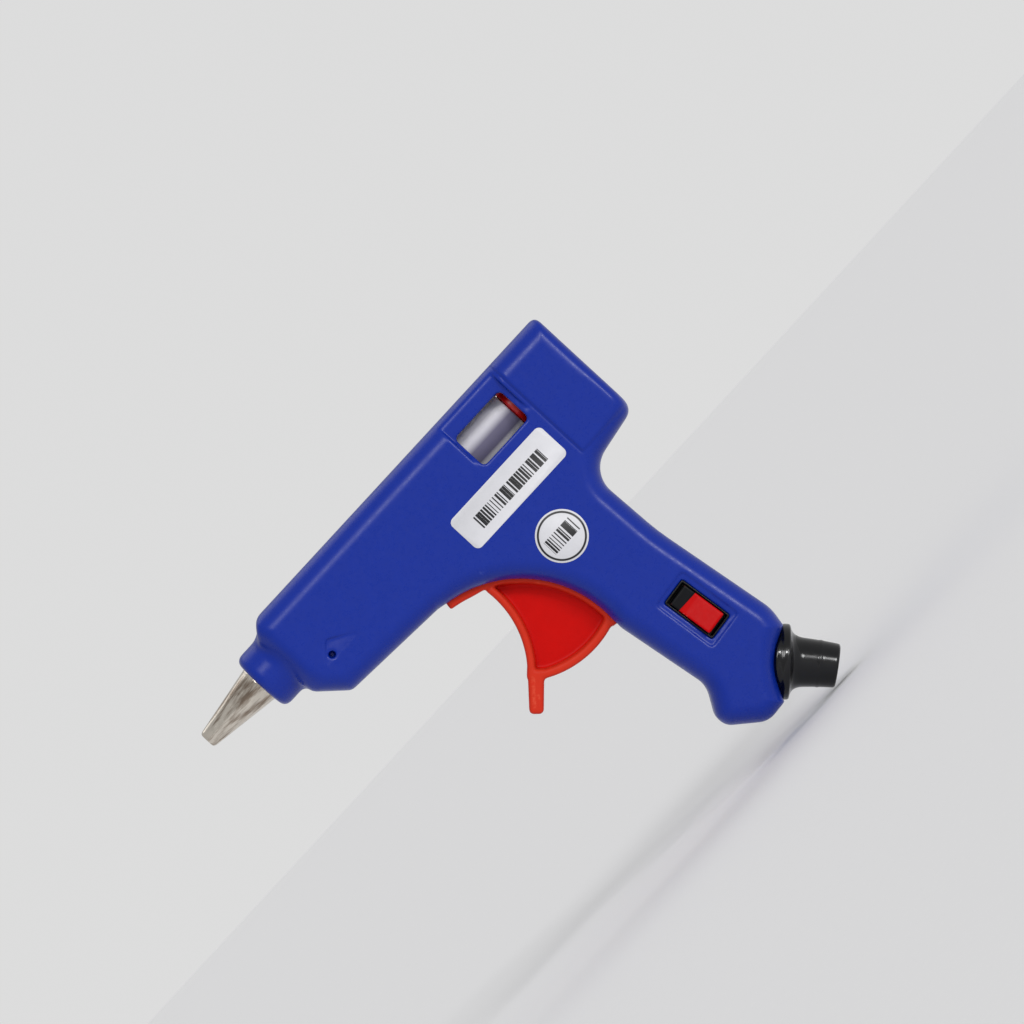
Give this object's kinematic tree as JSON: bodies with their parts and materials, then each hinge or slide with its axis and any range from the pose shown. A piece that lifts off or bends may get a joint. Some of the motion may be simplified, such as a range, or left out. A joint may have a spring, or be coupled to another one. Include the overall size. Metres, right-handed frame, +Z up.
{
  "type": "hot-melt glue gun",
  "caption": "Pistol-shaped hot-melt glue gun with a metal cone nozzle, curved trigger, feed window, rocker switch and cord boot.",
  "frame": {"origin": "middle of the whole gun from above, at the level of its lowest point, the end of the cord boot", "axes": "+X to the rear, away from the nozzle; +Y to the right-hand side; +Z up, with the barrel level"},
  "size_m": [0.1388, 0.0282, 0.1233],
  "materials": {
    "casing_blue": "semi-gloss injection-moulded ABS",
    "trigger_red": "semi-gloss moulded plastic",
    "carriage_red": "semi-gloss moulded plastic",
    "rocker_red": "glossy moulded plastic",
    "switch_black": "glossy moulded plastic",
    "boot_rubber": "glossy moulded PVC",
    "label_stock": "satin coated sticker",
    "nozzle_metal": "turned and polished",
    "chamber_metal": "die cast",
    "tube_silver": "silver, satin",
    "heater_ceramic": "unglazed",
    "amber_film": "polyimide film",
    "silicone": "matt silicone",
    "heatproof_ring": "matt heatproof moulding",
    "nylon": "natural nylon",
    "spring_steel": "bright",
    "screw_steel": "zinc plated",
    "brass": "plain",
    "lead_brown": "PVC insulation",
    "lead_blue": "PVC insulation"
  },
  "bodies": {
    "casing": {"left_shell": "casing_blue", "right_shell": "casing_blue", "oblong_label": "label_stock", "round_label": "label_stock", "casing_screw_1": "screw_steel", "casing_screw_2": "screw_steel", "casing_screw_3": "screw_steel", "casing_screw_4": "screw_steel", "casing_screw_5": "screw_steel", "casing_screw_6": "screw_steel", "nozzle": "nozzle_metal", "melt_chamber": "chamber_metal", "nose_ring": "heatproof_ring", "rear_support_ring": "heatproof_ring", "insulation_film": "amber_film", "ptc_heater": "heater_ceramic", "lower_electrode": "brass", "upper_electrode": "brass", "inlet_sleeve": "silicone", "sleeve_clamp_ring": "spring_steel", "trigger_pivot_pin": "spring_steel", "switch_frame": "switch_black", "switch_terminal_live": "brass", "switch_terminal_heater": "brass", "heater_lead_live": "lead_brown", "heater_lead_neutral": "lead_blue", "crimp_joint": "nylon", "cord_clamp": "nylon", "cord_clamp_screw_lower": "screw_steel", "cord_clamp_screw_upper": "screw_steel", "strain_relief_boot": "boot_rubber"},
    "trigger": {"trigger": "trigger_red", "trigger_return_spring": "spring_steel", "front_link_pin": "spring_steel"},
    "carriage": {"feed_carriage": "carriage_red", "feed_tube": "tube_silver", "rear_link_pin": "spring_steel"},
    "link": {"feed_link": "nylon"},
    "rocker": {"switch_rocker": "rocker_red"}
  },
  "joints": [
    {"name": "trigger_pull", "type": "hinge", "parent": "casing", "child": "trigger", "pos_m": [0.00395, 0.0011, 0.09558], "axis": [0, -1, 0], "range_deg": [0, 14], "stiffness_Nm_per_rad": 0.4, "springref_deg": -8.59},
    {"name": "carriage_feed", "type": "slide", "parent": "casing", "child": "carriage", "axis": [-1, 0, 0], "range_m": [0, 0.00576]},
    {"name": "link_swing", "type": "hinge", "parent": "carriage", "child": "link", "pos_m": [0.04965, 0.0011, 0.11898], "axis": [0, -1, 0], "range_deg": [0, 0.97]},
    {"name": "rocker_tilt", "type": "hinge", "parent": "casing", "child": "rocker", "pos_m": [0.04225, -0.0109, 0.04068], "axis": [0.9945, 0, 0.1045], "range_deg": [0, 20]}
  ],
  "couplings": [
    {"joint": "carriage_feed", "follows": "trigger_pull", "m_per_rad": 0.023168},
    {"joint": "link_swing", "follows": "trigger_pull", "ratio": 0.06225}
  ]
}
